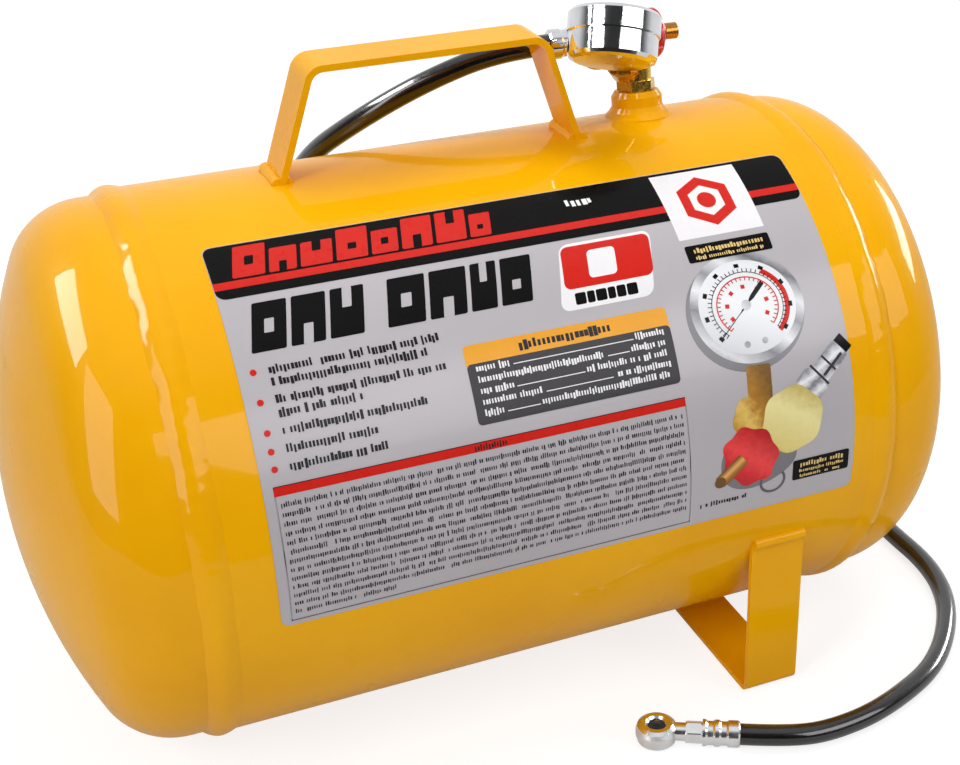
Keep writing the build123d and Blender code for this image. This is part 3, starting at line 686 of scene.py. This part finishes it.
# %% The pictured fittings
ink("picture_shadow", [fill(round_patch(GX - 1.6, GS - 2.4, 28.4, 26.0), 8),
                       fill(lobed(87, 8, 19, 3, 0.05, 0.7), 5)], 0.03, shadow_ink)
ink("picture_chrome_ring", [ring_patch(GX, GS, 27.4, 25.0, 4.0),
                            ring_patch(95.0, -4.2, 6.6, 6.2, 1.3, 160, 400, 41)], 0.09, steel_ink)
ink("picture_dial", [fill(round_patch(GX, GS, 23.6, 21.2), 8)], 0.07, face_ink)
ink("picture_brass_parts", [
    fill(turned_box(90.5, 43.5, 15.5, 12.0, 86, 1.2), 4),
    fill(turned_box(91.0, 38.0, 8.0, 10.5, 86, 0.8), 3),
    fill(lobed(88.5, 27.5, 13.0, 5, 0.05, 0.8, -0.4), 5)], 0.06, brass_ink)
ink("picture_hose", [fill(turned_box(132.6, 51.6, 8.0, 8.4, 38, 0.4), 3)], 0.05, black_ink)
ink("picture_nut", [fill(turned_box(126.0, 45.8, 17.0, 10.4, 40, 1.6), 4),
                    fill(turned_box(116.0, 37.2, 9.5, 15.0, 40, 2.4), 3)], 0.08, nut_ink)
ink("picture_nut_shade", [fill(turned_box(120.4, 41.0, 1.1, 13.0, 40, 0.3), 2),
                          fill(turned_box(125.6, 45.4, 1.0, 9.8, 40, 0.3), 2),
                          fill(turned_box(127.6, 44.4, 13.0, 1.4, 40, 0.4), 2)], 0.10, slate_ink)
ink("picture_pad", [fill(lobed(105.2, 23.6, 15.2, 6, 0.035, 1.0, 0.3), 6)], 0.11, pad_ink)
ink("picture_knob", [fill(lobed(83.6, 10.6, 14.6, 7, 0.06, 0.88, -0.9), 6)], 0.14, knob_ink)
stem_ink = shaded_ink("picture_stem", [(0, srgb(92, 54, 20)), (0.35, srgb(176, 112, 46)),
                                       (0.55, srgb(232, 178, 96)), (0.8, srgb(140, 84, 32)),
                                       (1, srgb(96, 58, 22))], (-0.6, 0.8), (74, 5.4), 9)
ink("picture_stem", [fill(turned_box(74.2, 5.6, 15.5, 6.6, 38, 1.0), 4)], 0.17, stem_ink)
ink("picture_stem_mouth", [fill(lobed(68.6, 1.2, 2.7, 1, 0.0, 1.0), 2)], 0.19, brass_ink)
print("fittings pictured")

# %% The pictured dial's scale
def tick_ring(x, s, rx, rs, length, width, a0, a1, count):
    """Short bars standing on an arc: a pile of small grids (count, 2, 2, 2)."""
    a = np.radians(np.linspace(a0, a1, count))
    out = np.stack([np.cos(a) * rx, np.sin(a) * rs], -1)
    side = np.stack([-np.sin(a), np.cos(a)], -1) * width / 2
    inner = out * (1 - length / rx)
    here = np.array([x, s])
    return here + np.stack([np.stack([inner - side, out - side], 1),
                            np.stack([inner + side, out + side], 1)], 1)


def needle_patch(x, s, reach, tail, width, angle):
    """A pointer from tail to reach, wide at the tail and fine at the tip."""
    flat = np.array([[reach, 0.25], [0.0, width * 0.5], [-tail * 0.3, width * 0.45],
                     [-tail * 0.35, width], [-tail, width * 1.1], [-tail, -width * 1.1],
                     [-tail * 0.35, -width], [-tail * 0.3, -width * 0.45], [0.0, -width * 0.5],
                     [reach, -0.25]])
    return turned(flat, x, s, angle)


ink("picture_scale_red", [
    ring_patch(GX, GS, 20.4, 18.4, 2.4, -48, 56), ring_patch(GX, GS, 15.0, 13.4, 0.55, -46, 226),
    tick_ring(GX, GS, 14.4, 12.9, 1.5, 0.5, -45, 225, 31),
    tick_ring(GX, GS, 10.8, 9.7, 2.0, 1.9, -30, 210, 7)], 0.11, red_ink)
ink("picture_scale_black", [
    ring_patch(GX, GS, 17.3, 15.6, 0.35, -46, 226),
    tick_ring(GX, GS, 19.0, 17.1, 1.7, 0.4, -45, 225, 41),
    tick_ring(GX, GS, 21.6, 19.4, 1.9, 2.3, -40, 220, 9),
    fill(needle_patch(GX - 0.6, GS + 0.6, 20.5, 13.5, 1.0, 220), 3)], 0.13, black_ink)
ink("picture_hub", [fill(round_patch(GX - 0.6, GS + 0.6, 2.3, n=24), 2),
                    fill(round_patch(GX - 4.2, GS - 16.4, 1.5, n=20), 2),
                    fill(round_patch(GX + 4.6, GS - 16.0, 1.5, n=20), 2)], 0.15, steel_ink)
print("picture drawn")

# %% [markdown]
# ## The gauge's own dial
# The real dial sits under glass. Its scale could be cut into the disc, but it is ink, so it is
# made as the label's is: thin marks a hair above the white disc, in the dial's own frame, with
# u towards the stem, w to the side and the height out of the face.

# %% Dial frame and print
PRINT_HEIGHT = 4.86            # mm over the middle of the case, just above the white disc
SWEEP = (-135, 135)            # degrees of the scale
turn_at = Vector(joints["gauge_turn"]["pos_m"])
face_out = -Vector(joints["gauge_turn"]["axis"]).normalized()
stem_way = Vector((0.487, 0.737, -0.467))   # from the case towards the manifold
stem_way = (stem_way - face_out * stem_way.dot(face_out)).normalized()
side_way = face_out.cross(stem_way)


def on_dial(flat, height):
    """Dial artwork (u, w) in mm at a height in mm over the case's middle."""
    u, w = flat[..., 0, None] * MM, flat[..., 1, None] * MM
    return np.array(turn_at) + u * np.array(stem_way) + w * np.array(side_way) \
        + height * MM * np.array(face_out)


def dial_print(name, patches, material):
    """One printed colour on the dial."""
    flat, faces = pile(patches)
    piece = mesh_piece(name, on_dial(flat, PRINT_HEIGHT), faces, material, "tank",
                       uv=flat / UV_SIZE, close=False)
    if piece.data.polygons[0].normal.dot(face_out) < 0:
        piece.data.flip_normals()


dial_print("dial_black", [tick_ring(0, 0, 17.8, 17.8, 1.8, 0.25, *SWEEP, 51),
                          tick_ring(0, 0, 17.8, 17.8, 3.0, 0.5, *SWEEP, 11),
                          ring_patch(0, 0, 14.6, 14.6, 0.25, *SWEEP)], black_ink)
dial_print("dial_red", [ring_patch(0, 0, 14.2, 14.2, 1.4, 45, SWEEP[1]),
                        tick_ring(0, 0, 11.6, 11.6, 1.2, 0.3, *SWEEP, 31)], red_ink)
print("dial printed")

# %% [markdown]
# ## Floor and light
# The tank stands on a plain white floor in even studio light. One floor and one set of lamps
# could do, but matte paint and mirror chrome ask for different rooms. So the floor has two
# sheets: one that the camera sees, and one a hair lower that lights the tank and shows in its
# gloss. The lamps are parted in the same way: three light the tank, and four show only as
# reflections, which puts the bright shapes on the heads, the shell, the chrome and the hose.

# %% Floor
def flat_sheet(name, x, y, z, grey, glow):
    """A level sheet that reaches x and y each way and also glows, so that shadows stay pale."""
    mesh = bpy.data.meshes.new(name)
    mesh.from_pydata([(-x, -y, z), (x, -y, z), (x, y, z), (-x, y, z)], [], [(0, 1, 2, 3)])
    material = bpy.data.materials.new(name + "_white")
    material.use_nodes = True
    main = material.node_tree.nodes["Principled BSDF"]
    main.inputs["Base Color"].default_value = (grey, grey, grey, 1)
    main.inputs["Roughness"].default_value = 0.7
    main.inputs["Specular IOR Level"].default_value = 0.1
    main.inputs["Emission Color"].default_value = (1, 1, 1, 1)
    main.inputs["Emission Strength"].default_value = glow
    mesh.materials.append(material)
    sheet = bpy.data.objects.new(name, mesh)
    bpy.context.scene.collection.objects.link(sheet)
    return sheet


floor = flat_sheet("floor", 40, 40, -0.2 * MM, 0.3, 0.8)
floor.visible_glossy = floor.visible_diffuse = floor.visible_shadow = False
table = flat_sheet("table", 0.85, 0.6, -0.3 * MM, 0.55, 0.1)
table.visible_camera = False
print("floor laid")

# %% Lamps
def softbox(name, at, aim, wide, high, power, mirror=False):
    """A soft rectangular lamp at a place, turned to face its aim. A mirror lamp shows only in
    shiny surfaces, and the others light matte surfaces only."""
    lamp = bpy.data.objects.new(name, bpy.data.lights.new(name, "AREA"))
    lamp.data.shape = "RECTANGLE"
    lamp.data.size, lamp.data.size_y, lamp.data.energy = wide, high, power
    lamp.location = at
    lamp.rotation_euler = (Vector(aim) - Vector(at)).to_track_quat("-Z", "Y").to_euler()
    lamp.visible_diffuse, lamp.visible_glossy = not mirror, mirror
    bpy.context.scene.collection.objects.link(lamp)


MIDDLE = (0, 0, 0.12)          # of the tank
softbox("key_lamp", (-1.5, -0.9, 1.5), MIDDLE, 0.5, 0.9, 15)
softbox("top_lamp", (0.3, 0.2, 1.5), (0.05, 0, 0.15), 1.2, 0.5, 10)
softbox("right_lamp", (0.9, -1.3, 1.0), MIDDLE, 0.4, 0.7, 4)
softbox("left_mirror", (-1.49, 0.67, 1.6), MIDDLE, 1.35, 0.75, 60, True)
softbox("window_mirror", (-1.95, -0.78, 0.98), MIDDLE, 1.15, 1.8, 32, True)
softbox("front_mirror", (0.92, -1.6, 1.2), MIDDLE, 1.9, 1.0, 22, True)
softbox("right_mirror", (2.15, 0.2, 0.75), MIDDLE, 1.1, 0.45, 32, True)
print("lamps:", len(bpy.data.lights))

# %% The room, as light and as a reflection
# Matte surfaces see an even pale room. Shiny ones see a dark room with a pale wall behind the
# tank and a pale ceiling, which with the mirror lamps gives chrome its black and white bands.
ROOM_FILL = 0.5
WALL_WAY = (0.391, 0.920, 0.0)     # straight away from the camera, level
world = bpy.data.worlds.new("studio")
world.use_nodes = True
room = world.node_tree
way = link(room, "ShaderNodeTexCoord").outputs["Generated"]
behind = link(room, "ShaderNodeVectorMath", {0: way, 1: WALL_WAY},
              operation="DOT_PRODUCT").outputs["Value"]


def greys(*stops):
    """Stops of a ramp between greys, from (place, grey) pairs."""
    return [(place, (grey, grey, grey)) for place, grey in stops]


half_way = link(room, "ShaderNodeMath", {0: behind, 1: 0.5, 2: 0.5},
                operation="MULTIPLY_ADD").outputs["Value"]
wall = ramp(room, half_way, greys((0.0, 0.02), (0.12, 0.03), (0.2, 0.12), (0.45, 0.1),
                                  (0.62, 0.7), (1.0, 0.9)))
height = link(room, "ShaderNodeSeparateXYZ", {0: way}).outputs["Z"]
ceiling = ramp(room, height, greys((0.0, 0.0), (0.72, 0.04), (0.92, 0.8)))

A, B, MIXED = 6, 7, 2          # the colour sockets of a mix node, and its colour result
both = link(room, "ShaderNodeMix", data_type="RGBA", blend_type="LIGHTEN")
both.inputs["Factor"].default_value = 1.0
room.links.new(wall, both.inputs[A])
room.links.new(ceiling, both.inputs[B])
pick = link(room, "ShaderNodeMix", data_type="RGBA")
shiny = link(room, "ShaderNodeLightPath").outputs["Is Glossy Ray"]
room.links.new(shiny, pick.inputs["Factor"])
pick.inputs[A].default_value = (ROOM_FILL, ROOM_FILL, ROOM_FILL, 1)
room.links.new(both.outputs[MIXED], pick.inputs[B])
room.links.new(pick.outputs[MIXED], room.nodes["Background"].inputs["Color"])
bpy.context.scene.world = world
bpy.context.scene.view_settings.view_transform = "Standard"
bpy.context.scene.view_settings.look = "None"
print("room set")
